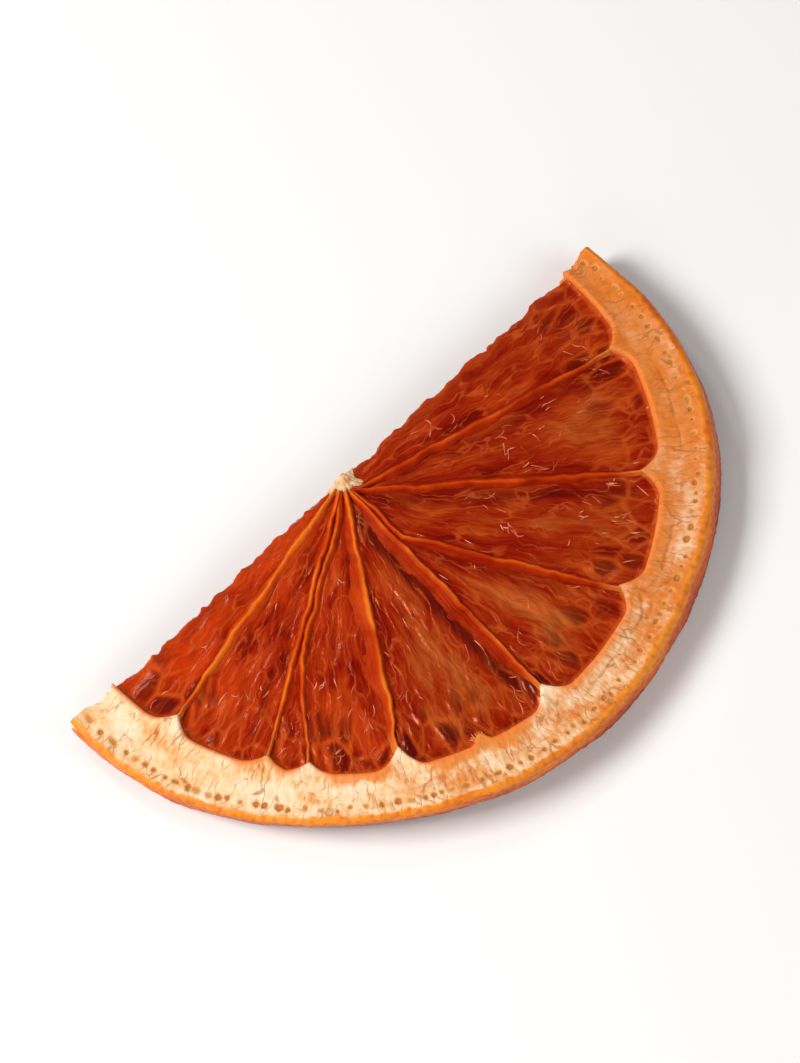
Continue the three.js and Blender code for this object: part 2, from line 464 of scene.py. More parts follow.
crease = np.zeros_like(angle)
wobble = lumps(arc_length, 0 * angle, 0 * angle, size=4 * MM, seed=12)
open_here = smooth(-0.35, 0.3, lumps(arc_length, across, 0 * angle, size=3 * MM, seed=13))
for start, end, place, depth in CREASES:
    away = (across - place - CREASE_WOBBLE * wobble) / CREASE_WIDTH
    there = open_here * stretch_of_rim(start, end)
    crease = np.maximum(crease, depth * there * np.exp(-(away**2)))
top -= crease

stain = np.zeros_like(angle)
soak = 1 + 0.6 * lumps(arc_length, radius, 0 * angle, size=1.6 * MM, seed=17)
for start, end, reach, strength in STAINS:
    faded = smooth(1.25, 0.55, from_flesh / (reach * np.clip(soak, 0.3, 2)))
    stain = np.maximum(stain, strength * stretch_of_rim(start, end) * faded)

at_cusp = smooth(0.2 * MM, 1.0 * MM, FLESH_RADIUS + waves(FLESH_WAVES, angle) - inner)
juicy_edge = (1 - smooth(*JUICY_EDGE, from_flesh)) * (1 - at_cusp)
juicy_edge *= 1 - 0.5 * smooth(70, 110, angle)
print("share of the rind that is creased:", (crease > 0.05 * MM).mean().round(3))
print("share of the rind that is stained:", (stain > 0.5).mean().round(3))

# %% [markdown]
# At both ends of the arc the rind shows its cut face, where the knife tore it a little and
# shreds of pith stand out. After that, every point goes to its place on the slice. What the
# material has to know about a point, such as how much zest it is, is painted on as a number.

# %% Torn ends, and every point to its place
END_TEAR = 1.2 * MM
FINE_TEAR = 0.5 * MM
TEAR_REACH = 1.2 * MM
DEEPEST_TEAR = 0.5 * MM
LONGEST_SHRED = 1.0 * MM
height = bottom + upward * (top - bottom)
left_end = np.exp(-arc_length / TEAR_REACH)
right_end = np.exp(-(np.radians(ARC) * RADIUS - arc_length) / TEAR_REACH)
tear = END_TEAR * (0.5 + lumps(radius, height, 0 * angle, size=2.2 * MM, seed=14))
tear += FINE_TEAR * lumps(radius, height, 0 * angle, size=0.9 * MM, seed=15)
places = to_places(radius, angle, height)
places[:, 1] += (left_end + right_end) * np.clip(tear, -DEEPEST_TEAR, LONGEST_SHRED)
move_points(rind, places)
face_outwards(rind)

# %% What the rind's material will read
ZEST_THICKNESS = 0.3 * MM
ZEST_UNEVEN = 0.15 * MM
ZEST_BLEND = 0.25 * MM

in_face = np.maximum(glands_above * smooth(0.8, 1, upward), glands_below * smooth(0.2, 0, upward))
pithy = smooth(ZEST_THICKNESS - ZEST_BLEND, ZEST_THICKNESS, from_wall + ZEST_UNEVEN * grain)
paint(rind, "zest", 1 - pithy)
paint(rind, "gland", in_face)
paint(rind, "juicy_edge", juicy_edge)
paint(rind, "upward", upward)
paint(rind, "crease", crease / MM)
paint(rind, "stain", stain)
paint(rind, "round", angle / ARC)
paint(rind, "dimple", dimple * on_wall)
paint_place(rind, "band", arc_length / MM, from_wall / MM, height / MM)

# %% [markdown]
# ## The pulp
# The flesh is a thin half disc. A spun mesh would crowd its points at the core, so this piece
# starts as a grid twice as long as it is wide, and each square of it is bent onto the half
# disc in a way that keeps all faces nearly the same size. It is extruded downwards into a
# closed sheet, and the face of the cut is subdivided, so that it can look torn and pitted with
# the sacs that were cut open.

# %% Model the sheet
PULP_CELLS = 150
PULP_CUT_ROWS = 9
AT_EDGE = 0.0001

bpy.ops.mesh.primitive_grid_add(x_subdivisions=2 * PULP_CELLS, y_subdivisions=PULP_CELLS, size=1)
pulp = bpy.context.object
pulp.name = "pulp"
bpy.ops.object.mode_set(mode="EDIT")
bpy.ops.transform.resize(value=(2, 1, 1))
bpy.ops.transform.translate(value=(0, -0.5, 0))
bpy.ops.mesh.extrude_region_move(TRANSFORM_OT_translate={"value": (0, 0, -1)})
bpy.ops.mesh.select_all(action="DESELECT")
bpy.ops.mesh.select_mode(type="EDGE")
bpy.ops.object.mode_set(mode="OBJECT")
sheet = read_points(pulp)
ends = np.array([edge.vertices[:] for edge in pulp.data.edges])
upright = np.abs(sheet[ends[:, 0], 2] - sheet[ends[:, 1], 2]) > 0.5
at_cut = sheet[ends[:, 0], 1] > -AT_EDGE
pulp.data.edges.foreach_set("select", upright & at_cut)
bpy.ops.object.mode_set(mode="EDIT")
bpy.ops.mesh.subdivide(number_cuts=PULP_CUT_ROWS)
bpy.ops.object.mode_set(mode="OBJECT")
report(pulp)

# %% Bend the grid onto the half disc
PULP_TUCK = 0.5 * MM
SMALLEST_SHARE = 1e-9


def half_disc(x, y):
    """The share of the radius and the angle of points of the grid, all faces alike in size."""
    share = np.maximum(np.abs(x), np.abs(y))
    steep = np.abs(y) > np.abs(x)
    safe = np.maximum(share, SMALLEST_SHARE)
    side = 45 * np.abs(y) / safe
    front = 90 + 45 * x / safe
    return share, np.where(steep, front, np.where(x < 0, side, ARC - side))


sheet = read_points(pulp)
pulp_share, pulp_angle = half_disc(sheet[:, 0], np.clip(sheet[:, 1], -1, 0))
pulp_up = 1 + sheet[:, 2]
pulp_radius = pulp_share * (flesh_end(pulp_angle) + PULP_TUCK)

# %% [markdown]
# The flesh is made of juice sacs: long drops that start near the core and end, blunt and fat,
# at the rind. Dried, each one is a glassy hollow between thin raised walls. Their pattern is a
# cell pattern that fans out along each segment, from a point behind the core. Beside each skin
# the flesh is hidden under the skin's ribbon, so it stays low and smooth there. A ribbon's row
# holds its width to the left, its width to the right, and how strong its crest is. Each ribbon
# narrows towards the rind, and takes up less than half of the room to the next skin.

# %% Where a point lies in its segment
SAC_WIDTH = 1.5 * MM
SAC_LENGTH = 7.0 * MM
FAN_START = 26 * MM
SEGMENT_SHIFT = 20 * MM
TIP_SHARE = 0.3
TAPER_START = 1.5 * MM
TAPER_END = 14 * MM
MOST_ROOM = 0.45
RIBBONS = [
    (0.7 * MM, 1.1 * MM, 1.0),
    (0.5 * MM, 0.5 * MM, 0.7),
    (0.4 * MM, 0.6 * MM, 0.6),
    (2.1 * MM, 0.5 * MM, 1.0),
    (2.0 * MM, 0.5 * MM, 0.9),
    (1.2 * MM, 0.55 * MM, 0.7),
    (0.8 * MM, 0.9 * MM, 0.55),
    (1.0 * MM, 0.6 * MM, 0.6),
]


def across_segment(r, angle):
    """Which segment points are in, how far they are from its middle line, and from its skins."""
    rows = skin_angles(r)
    which = np.clip((rows[1:] < angle).sum(axis=0), 0, len(SKINS))
    start = np.take_along_axis(rows, which[None], axis=0)[0]
    end = np.take_along_axis(rows, which[None] + 1, axis=0)[0]
    to_left = np.where(which == 0, RADIUS, np.radians(angle - start) * r)
    to_right = np.where(which == len(SKINS), RADIUS, np.radians(end - angle) * r)
    middle = np.radians(angle - (start + end) / 2)
    return which, middle, to_left, to_right


def ribbon_widths(r):
    """How wide each skin's ribbon is at distances r: rows for the left sides and the right."""
    taper = TIP_SHARE + (1 - TIP_SHARE) * smooth(TAPER_START, TAPER_END, FLESH_RADIUS - r)
    room = MOST_ROOM * np.diff(np.radians(skin_angles(r)), axis=0) * r
    left = [np.minimum(width * taper, room[i]) for i, (width, _, _) in enumerate(RIBBONS)]
    right = [np.minimum(width * taper, room[i + 1]) for i, (_, width, _) in enumerate(RIBBONS)]
    return np.array(left), np.array(right)


def under_ribbon(r, which, to_left, to_right):
    """1 under the crest of a ribbon, falling to 0 at its foot and beyond."""
    left, right = ribbon_widths(r)
    ends = np.full((1, len(r)), TINY)
    on_left = np.take_along_axis(np.vstack([ends, right]), which[None], axis=0)[0]
    on_right = np.take_along_axis(np.vstack([left, ends]), which[None], axis=0)[0]
    nearest = np.minimum(to_left / np.maximum(on_left, TINY), to_right / np.maximum(on_right, TINY))
    return np.clip(1 - nearest, 0, 1)


def fan_place(r, angle):
    """A place in the fan of sacs, across them and along them. Each segment has its own fan."""
    which, middle, _, _ = across_segment(r, angle)
    x, y = r * np.sin(middle), r * np.cos(middle)
    sideways = np.arctan2(x, y + FAN_START) * (FLESH_RADIUS + FAN_START)
    return sideways + SEGMENT_SHIFT * which, FLESH_RADIUS - r


# %% [markdown]
# The relief of both faces is a sum of small heights. The walls between sacs rise, some sacs
# are higher than others, and the fattest, near the rind, are higher still. The whole sheet
# swells and crumples a little, and is thicker where it meets the rind.

# %% The pulp's relief
END_SAC_WIDTH = 2.3 * MM
END_SAC_LENGTH = 3.8 * MM
END_SACS_FROM = 9 * MM
END_SACS_FULL = 4 * MM
SAC_BEND = 1.3 * MM
SAC_WALL = 0.1 * MM
SAC_STEP = 0.12 * MM
FAT_SAC = 0.16 * MM
SWELL = 0.2 * MM
CRUMPLE = 0.045 * MM
EDGE_RISE = 0.25 * MM
EDGE_RISE_REACH = 0.4 * MM
FACE_SINK = 0.1 * MM
COVERED_SINK = 0.15 * MM
UPPER_SEED = 31
LOWER_SEED = 41


def end_sacs(u, v, to_end):
    """The sacs' blunt ends near the rind: the walls round them, and which of them are fat."""
    near_end = smooth(END_SACS_FROM, END_SACS_FULL, to_end)
    _, gap, mark = cells(u / END_SAC_WIDTH, v / END_SAC_LENGTH, seed=57)
    fat = smooth(0.05, 0.45, gap) * smooth(0.4, 0.7, mark) * smooth(0, 1 * MM, to_end)
    return (1 - smooth(0, 0.22, gap)) * near_end, fat * near_end


def pulp_face(r, angle, seed):
    """The height of the pulp's relief over its plain face, and how much a ribbon covers it."""
    which, _, to_left, to_right = across_segment(r, angle)
    cover = under_ribbon(r, which, to_left, to_right)
    u, v = fan_place(r, angle)
    to_end = flesh_end(angle) - r
    bend = SAC_BEND * lumps(u, v / 2, 0 * r, size=4 * MM, seed=seed)
    _, gap, mark = cells((u + bend) / SAC_WIDTH, (v + bend) / SAC_LENGTH, seed)
    x, y = r * np.cos(np.radians(angle)), r * np.sin(np.radians(angle))
    swell = lumps(x, y, 0 * r, size=6 * MM, seed=seed + 1, octaves=2)
    crumple = lumps(u, v / 3, 0 * r, size=0.9 * MM, seed=seed + 2)
    edge = EDGE_RISE * np.exp(-to_end.clip(0) / EDGE_RISE_REACH)
    _, fat = end_sacs(u, v, to_end)
    relief = SAC_WALL * (1 - smooth(0.0, 0.3, gap)) + SAC_STEP * (mark - 0.5) + FAT_SAC * fat
    relief += SWELL * swell + CRUMPLE * crumple
    return (relief - FACE_SINK) * (1 - cover) - COVERED_SINK * cover + edge, cover


above, covered_above = pulp_face(pulp_radius, pulp_angle, UPPER_SEED)
below, covered_below = pulp_face(pulp_radius, pulp_angle, LOWER_SEED)
report_range("relief of the upper face", above)

# %% [markdown]
# The sheet is a little hollow round the core. Its cut face waves in and out, and has a pocket
# wherever the knife opened a sac. Close to the core the cut stays straight.

# %% Set the pulp in place
CORE_HOLLOW = 0.4 * MM
HOLLOW_REACH = 3 * MM
CUT_WAVE = 0.6 * MM
CUT_GRAIN = 0.12 * MM
CUT_PROUD = 0.2 * MM
CUT_FADE = 0.5 * MM
STRAIGHT_REACH = 3.4 * MM
POCKET_LENGTH = 2.0 * MM
POCKET_HEIGHT = 1.2 * MM
POCKET_DEPTH = 0.4 * MM
POCKET_FADE = 0.3 * MM
near_core = np.exp(-((pulp_radius / HOLLOW_REACH) ** 2))
top = FLESH_TOP + above * (1 - near_core) - CORE_HOLLOW * near_core
bottom = FLESH_BOTTOM - below * (1 - near_core) + CORE_HOLLOW * near_core
height = bottom + pulp_up * (top - bottom)
places = to_places(pulp_radius, pulp_angle, height)
from_cut = np.abs(places[:, 1] - CORE[1])
torn = CUT_WAVE * lumps(places[:, 0], height, 0 * height, size=4.0 * MM, seed=51)
torn += CUT_GRAIN * lumps(places[:, 0], height, 0 * height, size=0.8 * MM, seed=52)
_, pocket_gap, pocket_mark = cells(places[:, 0] / POCKET_LENGTH, height / POCKET_HEIGHT, seed=53)
pocket = smooth(0.1, 0.6, pocket_gap) * pocket_mark
torn += CUT_PROUD - POCKET_DEPTH * pocket
torn *= 1 - np.exp(-((pulp_radius / STRAIGHT_REACH) ** 2))
places[:, 1] += torn * np.exp(-from_cut / CUT_FADE)
move_points(pulp, places)
face_outwards(pulp)
report_range("thickness of the flesh", top - bottom)

# %% [markdown]
# No two segments dry alike. In each one the sheet is thinnest in the middle, but more so in the large
# ones, and its colour is lighter there: a painted glow of the light that comes through, since the
# modelled sheet is not thinner there. Juice has gathered along one skin and in some fat sacs near the
# rind. Each segment is one row: how thin its middle is, which is how strong the painted glow is there,
# how full it is along its right skin, and how vivid its red is. The redder left segments are partly
# their own colour and partly painted light: the duller right ones are toned as under a haze of
# reflected light.

# %% Thin middles with painted glow, full sacs and vivid segments
SEGMENTS = [
    (0.2, 0.2, 1.0),
    (0.3, 0.35, 0.75),
    (0.2, 0.2, 0.7),
    (0.45, 0.2, 0.6),
    (0.9, 1.0, 0.1),
    (1.0, 0.4, 0.0),
    (0.5, 0.6, 0.0),
    (0.6, 0.4, 0.1),
    (0.3, 0.3, 0.2),
]
GLOW_FROM = 1.5 * MM
GLOW_TO = 6 * MM
FULL_LINE = 1.8 * MM
FULL_LINE_SWAY = 0.5 * MM
FULL_LINE_WIDTH = 1.1 * MM


def tones_of_pulp(r, angle):
    """How thin the middle is, as painted glow, how full of juice and how vivid the sheet is, and the
    walls of the sacs' ends.
    """
    which, _, to_left, to_right = across_segment(r, angle)
    glow_share, fullness, vividness = np.array(SEGMENTS)[which].T
    to_end = flesh_end(angle) - r
    u, v = fan_place(r, angle)
    patchy = 0.8 + 0.5 * lumps(u, v / 2, 0 * r, size=5 * MM, seed=55)
    # The middle of a segment, where the painted glow of light through the sheet is strongest.
    middle = smooth(GLOW_FROM, GLOW_TO, np.minimum(to_left, to_right)) * smooth(0, GLOW_TO, to_end)
    gathered = FULL_LINE + FULL_LINE_SWAY * lumps(v, u, 0 * r, size=4 * MM, seed=56)
    along_skin = np.exp(-(((to_right - gathered) / FULL_LINE_WIDTH) ** 2))
    along_skin *= smooth(0, 4 * MM, to_end)
    walls, fat = end_sacs(u, v, to_end)
    full = np.maximum(fullness * along_skin, 0.9 * fat)
    shown = np.clip(patchy, 0, 1)
    return glow_share * middle * patchy, full * shown, vividness * patchy, walls * shown


# %% What the pulp's material will read
fan_across, fan_along = fan_place(pulp_radius, pulp_angle)
# The thin middles' number is a painted glow of light through the sheet.
thin_glow, full, vivid, sac_ends = tones_of_pulp(pulp_radius, pulp_angle)
paint_place(pulp, "fan", fan_across / MM, fan_along / MM, height / MM)
paint(pulp, "thin_glow", thin_glow)
paint(pulp, "full", full)
paint(pulp, "vivid", vivid)
paint(pulp, "sac_ends", sac_ends)
paint(pulp, "covered", np.where(pulp_up > 0.5, covered_above, covered_below))
paint(pulp, "to_rind", (flesh_end(pulp_angle) - pulp_radius) / MM)
paint(pulp, "cut", np.exp(-from_cut / CUT_FADE))
paint(pulp, "pocket", pocket * np.exp(-from_cut / POCKET_FADE))

# %% [markdown]
# ## The skins
# A thin tough skin stands between two segments, from the rind to the core. As the flesh dries
# down, the skin folds over it and stays as a translucent orange ribbon with a thin bright
# crest. The widest ribbons lean over to one side: they are wide on the left of the crest and
# narrow on the right. Each is a strip of grid whose rows crowd along its middle, folded there
# into a low tent that sinks into the pulp at both feet, and given its thickness by a Solidify
# modifier.

# %% Model one ribbon
RIBBON_STEPS = 150
RIBBON_ROWS = 10
RIBBON_THICKNESS = 0.18 * MM
RIBBON_START = 1.6 * MM
RIBBON_TUCK = 1.0 * MM
TENT_HEIGHT = 0.24 * MM
CREST_HEIGHT = 0.17 * MM
CREST_WIDTH = 0.16 * MM
FOOT_DEPTH = 0.28 * MM
TIP_RISE = 0.45 * MM
RIPPLE_DEPTH = 0.09 * MM
SLOW_WAVER = 0.3 * MM
QUICK_WAVER = 0.1 * MM
FRAY = 0.45
FOLD_WIDTH = 0.2 * MM
RIBBON_SEED = 60


def model_ribbon(number, face):
    """The ribbon of one skin on one face of the slice: 1 for the upper face, -1 for the lower."""
    bpy.ops.mesh.primitive_grid_add(x_subdivisions=RIBBON_STEPS, y_subdivisions=RIBBON_ROWS, size=1)
    piece = bpy.context.object
    strip = read_points(piece)
    along = strip[:, 0] + 0.5
    side = np.sign(strip[:, 1]) * np.abs(2 * strip[:, 1]) ** 1.6
    outer = FLESH_RADIUS - SKINS[number - 1][2] + RIBBON_TUCK
    r = RIBBON_START + along * (outer - RIBBON_START)
    seed = RIBBON_SEED + 3 * number + face
    left, right = ribbon_widths(r)
    fray = 1 + FRAY * lumps(r, np.sign(side) * 9 * MM, 0 * r, size=4 * MM, seed=seed)
    sideways = np.where(side < 0, side * left[number - 1], side * right[number - 1]) * fray
    waver = SLOW_WAVER * lumps(r, 0 * r, 0 * r, size=5 * MM, seed=seed + 30)
    waver += QUICK_WAVER * lumps(r, 0 * r, 0 * r, size=1.4 * MM, seed=seed + 60)
    fade = smooth(0, 0.1, along) * smooth(1, 0.93, along)
    away = np.abs(side)
    strong = RIBBONS[number - 1][2] * (0.9 + 0.8 * lumps(r, 0 * r, 0 * r, size=6 * MM, seed=seed + 150))
    crest = CREST_HEIGHT * (strong + 0.6 * lumps(r, 0 * r, 0 * r, size=2.5 * MM, seed=seed + 90))
    crest *= np.exp(-((sideways / CREST_WIDTH) ** 2))
    tent = (TENT_HEIGHT + TIP_RISE * smooth(0.9, 1, along)) * (1 - away) ** 1.3
    ripple = RIPPLE_DEPTH * lumps(r, sideways * 2, 0 * r, size=1.4 * MM, seed=seed + 120)
    rise = crest + tent - FOOT_DEPTH * away**2 + ripple
    angle = skin_angles(r)[number] + np.degrees((sideways + waver * fade) / np.maximum(r, 2 * MM))
    level = FLESH_TOP + rise if face > 0 else FLESH_BOTTOM - rise
    move_points(piece, to_places(r, angle, level))
    fold = np.exp(-((sideways / FOLD_WIDTH) ** 2))
    paint(piece, "crest", strong * (0.3 * (1 - away) + 0.7 * fold))
    paint(piece, "along", along)
    paint(piece, "vivid", SEGMENTS[number - 1][2] + 0 * r)
    paint_place(piece, "ribbon", r / MM, sideways / MM, 10.0 * seed + 0 * r)
    shell = piece.modifiers.new("thickness", "SOLIDIFY")
    shell.thickness = RIBBON_THICKNESS
    shell.offset = 0
    bpy.ops.object.modifier_apply(modifier=shell.name)
    face_outwards(piece)
    return piece


# %% Model them all and join them
ribbons = [model_ribbon(number, face) for number in range(1, len(SKINS) + 1) for face in (1, -1)]
select_only(*ribbons)
bpy.ops.object.join()
segment_skins = bpy.context.object
segment_skins.name = "segment_skins"
report(segment_skins)

# %% [markdown]
# ## The core
# The skins meet in a core of pith. It has shrunk to a small cream knot, split along the cut
# and pulled into ridges by the skins. A ball is cut in half, squashed, and pulled out into
# arms along the skins. The arms' width is in degrees.

# %% Model the core
CORE_RADIUS = 2.9 * MM
ARM_DISTANCE = 4 * MM
ARM_WIDTH = 8
CORE_RISE = 0.25 * MM
CORE_PROUD = 0.4 * MM
CORE_UNEVEN = 0.2 * MM

bpy.ops.mesh.primitive_uv_sphere_add(segments=96, ring_count=48, radius=1)
core = bpy.context.object
core.name = "core"
bpy.ops.object.mode_set(mode="EDIT")
bpy.ops.mesh.select_all(action="SELECT")
bpy.ops.mesh.bisect(
    plane_co=(0, 0, 0), plane_no=(0, 1, 0), clear_outer=True, clear_inner=False, use_fill=True
)
bpy.ops.mesh.select_all(action="SELECT")
bpy.ops.mesh.subdivide(number_cuts=1)
bpy.ops.object.mode_set(mode="OBJECT")
ball = read_points(core)
ball_angle = round_the_core(ball)
ball_radius = np.hypot(ball[:, 0], ball[:, 1])
arms = np.zeros_like(ball_angle)
for row in skin_angles(np.full_like(ball_angle, ARM_DISTANCE))[1:-1]:
    arms = np.maximum(arms, np.exp(-(((ball_angle - row) / ARM_WIDTH) ** 2)))
knots = lumps(ball[:, 0], ball[:, 1], ball[:, 2], size=0.55, seed=71)
r = ball_radius * CORE_RADIUS * (0.8 + 0.3 * arms + 0.15 * knots)
middle_height = (FLESH_TOP + FLESH_BOTTOM) / 2
half_height = (FLESH_TOP - FLESH_BOTTOM) / 2 + CORE_RISE
height = middle_height + ball[:, 2] * half_height * (1 + 0.2 * knots)
places = to_places(r, ball_angle, height)
places[:, 1] += (CORE_PROUD + CORE_UNEVEN * knots) * np.exp(-6 * np.abs(ball[:, 1]))
move_points(core, places)
paint(core, "arms", arms * ball_radius)
face_outwards(core)
report(core)

# %% [markdown]
# ## The raised walls of the juice sacs
# Here and there a bit of a sac's wall stands up out of the flesh and catches the light, mostly
# a few side by side. They point along the segment, more or less, and many bend. Each is one
# spline of a curve with a round bevel that thins at both ends, more than half sunk into the
# flesh, and the whole curve is turned into a mesh.

# %% Curves that become a mesh
THIN_END = 0.3


def new_line(name, thickness):
    """A curve with a round bevel and closed ends."""
    line = bpy.data.curves.new(name, "CURVE")
    line.dimensions = "3D"
    line.bevel_depth = thickness
    line.bevel_resolution = 1
    line.use_fill_caps = True
    return line


def lay_spline(line, points):
    """Adds one spline that thins at both ends to the curve."""
    spline = line.splines.new("POLY")
    spline.points.add(len(points) - 1)
    for i, place in enumerate(points):
        spline.points[i].co = (*place, 1)
        along = (i + 0.5) / len(points)
        spline.points[i].radius = THIN_END + (1 - THIN_END) * math.sin(math.pi * along)


def mesh_of_curve(name, line):
    """The curve as a mesh object."""
    piece = bpy.data.objects.new(name, line)
    bpy.context.collection.objects.link(piece)
    select_only(piece)
    bpy.ops.object.convert(target="MESH")
    bpy.ops.object.shade_smooth()
    report(piece)
    return bpy.context.object


# %% Lay the ridges in clusters
CLUSTER_COUNT = 85
CLUSTER_SPREAD = 0.7 * MM
RIDGE_POINTS = 7
RIDGE_LENGTHS = (0.6 * MM, 2.2 * MM)
RIDGE_RADIUS = 0.085 * MM
RIDGE_SINK = 0.03 * MM
RIND_CLEARANCE = 0.3 * MM
MOST_COVERED = 0.1


def ridge_route(draw, r, angle, heading):
    """A ridge's radii and angles over the flesh, from its start and the way it points."""
    stride = draw.uniform(*RIDGE_LENGTHS) / RIDGE_POINTS
    curve = draw.normal(0, 1.0)
    radii, angles = [], []
    for step in range(RIDGE_POINTS):
        radii.append(r)
        angles.append(angle)
        turn = heading + curve * step / RIDGE_POINTS
        r += stride * math.cos(turn)
        angle += math.degrees(stride * math.sin(turn) / r)
    return np.array(radii), np.array(angles)


draw = np.random.default_rng(81)
line = new_line("sac_ridges", RIDGE_RADIUS)
for _ in range(CLUSTER_COUNT):
    middle_r = FLESH_RADIUS * math.sqrt(draw.uniform(0.08, 0.95))
    middle_angle = draw.uniform(2, ARC - 2)
    heading = draw.normal(0, 0.45)
    for _ in range(draw.integers(1, 6)):
        r = middle_r + draw.normal(0, CLUSTER_SPREAD)
        angle = middle_angle + math.degrees(draw.normal(0, CLUSTER_SPREAD) / middle_r)
        radii, angles = ridge_route(draw, r, angle, heading + draw.normal(0, 0.3))
        near_rind = (radii > flesh_end(angles) - RIND_CLEARANCE).any()
        if near_rind or angles.max() > ARC - 1 or angles.min() < 1:
            continue
        relief, cover = pulp_face(radii, angles, UPPER_SEED)
        if cover.max() < MOST_COVERED:
            lay_spline(line, to_places(radii, angles, FLESH_TOP + relief - RIDGE_SINK))
sac_ridges = mesh_of_curve("sac_ridges", line)
ridge_places = read_points(sac_ridges)
# How pale a ridge is: partly its own colour, partly a painted highlight.
paint(sac_ridges, "pale", 0.5 + lumps(*ridge_places.T, size=1.6 * MM, seed=91, octaves=1))

# %% [markdown]
# In the largest segment a spur of pith pokes into the flesh, and the fibres torn there stand
# up as a small orange tuft. They are splines again, that start close together and spread.

# %% Lay the tuft
TUFT_FIBRES = 16
TUFT_POINTS = 6
FIBRE_RADIUS = 0.07 * MM
FIBRE_LENGTHS = (0.8 * MM, 1.4 * MM)
FIBRE_SPACING = 0.35 * MM
FIBRE_ROOT = 0.7 * MM
FIBRE_START = 0.1 * MM

line = new_line("fibre_tuft", FIBRE_RADIUS)
for _ in range(TUFT_FIBRES):
    length = draw.uniform(*FIBRE_LENGTHS)
    spread = draw.normal(0, 0.7)
    rise = draw.uniform(0.1, 0.7)
    steps = np.linspace(0, 1, TUFT_POINTS)
    sideways = draw.normal(0, FIBRE_SPACING) + length * np.sin(spread) * steps**1.3
    radii = FLESH_RADIUS - SPUR_REACH + FIBRE_ROOT - length * math.cos(spread) * steps
    angles = SPUR_ANGLE + np.degrees(sideways / FLESH_RADIUS)
    heights = FLESH_TOP + FIBRE_START + length * rise * steps * (1.3 - steps)
    lay_spline(line, to_places(radii, angles, heights))
fibre_tuft = mesh_of_curve("fibre_tuft", line)

# %% [markdown]
# ## Materials
# Colours are given as sRGB hex values, as a colour picker shows them, and one function turns
# them to the linear values that Blender works in. One more adds any node: its settings, its
# inputs, which may be numbers, colours or other nodes' outputs, and the stops of a colour ramp.
# It gives back the node's output, because that is what the next node needs.

# %% Colours and nodes
def colour(code):
    """An sRGB hex colour as linear red, green, blue and alpha."""
    parts = [int(code[i : i + 2], 16) / 255 for i in (1, 3, 5)]
    return (*[c / 12.92 if c <= 0.04045 else ((c + 0.055) / 1.055) ** 2.4 for c in parts], 1)


def add(tree, kind, inputs=(), output=None, stops=(), **settings):
    """Adds a node with its settings, inputs and colour stops, and gives back its output."""
    node = tree.nodes.new(kind)
    for name, value in settings.items():
        setattr(node, name, value)
    for name, value in dict(inputs).items():
        named = (socket for socket in node.inputs if socket.enabled and socket.name == name)
        socket = node.inputs[name] if isinstance(name, int) else next(named)
        if isinstance(value, bpy.types.NodeSocket):
            tree.links.new(value, socket)
        else:
            socket.default_value = colour(value) if isinstance(value, str) else value
    for number, (place, code) in enumerate(stops):
        elements = node.color_ramp.elements
        stop = elements[number] if number < 2 else elements.new(place)
        stop.position, stop.color = place, colour(code)
    usable = [socket for socket in node.outputs if socket.enabled]
    return node.outputs[output] if output else usable[0] if usable else None


# %% Start and finish a material
def new_tree(name):
    """A new material with nothing in it, and its node tree."""
    material = bpy.data.materials.new(name)
    material.use_nodes = True
    material.node_tree.nodes.clear()
    return material, material.node_tree


def finish_material(piece, material, tree, surface, relief=None, depth=None):
    """Gives the piece its material: a surface with these inputs, and fine relief in it."""
    if relief:
        bump = {"Height": relief, "Strength": 1.0, "Distance": depth}
        surface = {**surface, "Normal": add(tree, "ShaderNodeBump", bump)}
    shader = add(tree, "ShaderNodeBsdfPrincipled", surface)
    add(tree, "ShaderNodeOutputMaterial", {"Surface": shader})
    piece.data.materials.append(material)
    print(material.name, "has", len(tree.nodes), "nodes")


# %% [markdown]
# Most finishes here are layers: a stain over pith, a pale wall over juice. A layer is a colour
# laid over what is below it, as strongly as some number says. The numbers themselves are mostly
# sums of patterns, each with its own weight.

# %% Layers and sums
def layer(tree, below, above, number, low, high, most=1.0):
    """Lays a colour over another, from not at all at number low to the most at number high."""
    ends = {"Value": number, "From Min": low, "From Max": high, "To Max": most}
    share = add(tree, "ShaderNodeMapRange", ends)
    return add(tree, "ShaderNodeMix", {"Factor": share, "A": below, "B": above}, data_type="RGBA")


def weighed(tree, parts):
    """The sum of numbers, each times its weight."""
    total = 0.0
    for number, weight in parts:
        total = add(tree, "ShaderNodeMath", {0: number, 1: weight, 2: total}, operation="MULTIPLY_ADD")
    return total


# %% Patterns in real sizes
def streaks(tree, place, sizes, detail=3.0):
    """Noise from 0 to 1 with lumps of these sizes along the place's three axes."""
    scaled = add(tree, "ShaderNodeMapping", {"Vector": place, "Scale": [1 / n for n in sizes]})
    soft = {"Vector": scaled, "Scale": 1.0, "Detail": detail, "Roughness": 0.55}
    return add(tree, "ShaderNodeTexNoise", soft)


def cell_lines(tree, place, sizes, width):
    """1 on the walls of cells of these sizes, falling to 0 at this share of a cell from them."""
    scaled = add(tree, "ShaderNodeMapping", {"Vector": place, "Scale": [1 / n for n in sizes]})
    cells_at = {"Vector": scaled, "Scale": 1.0}
    away = add(tree, "ShaderNodeTexVoronoi", cells_at, feature="DISTANCE_TO_EDGE")
    falling = {"Value": away, "From Max": width, "To Min": 1.0, "To Max": 0.0}
    return add(tree, "ShaderNodeMapRange", falling)


def wandering(tree, place, size, reach):
    """The place moved up to reach by soft noise of this size, so that a pattern wanders."""
    soft = {"Vector": place, "Scale": 1 / size, "Detail": 2.0}
    soft = add(tree, "ShaderNodeTexNoise", soft, output="Color")
    centred = add(tree, "ShaderNodeVectorMath", {0: soft, 1: (0.5,) * 3}, operation="SUBTRACT")
    far = {0: centred, 1: (2 * reach,) * 3, 2: place}
    return add(tree, "ShaderNodeVectorMath", far, operation="MULTIPLY_ADD")
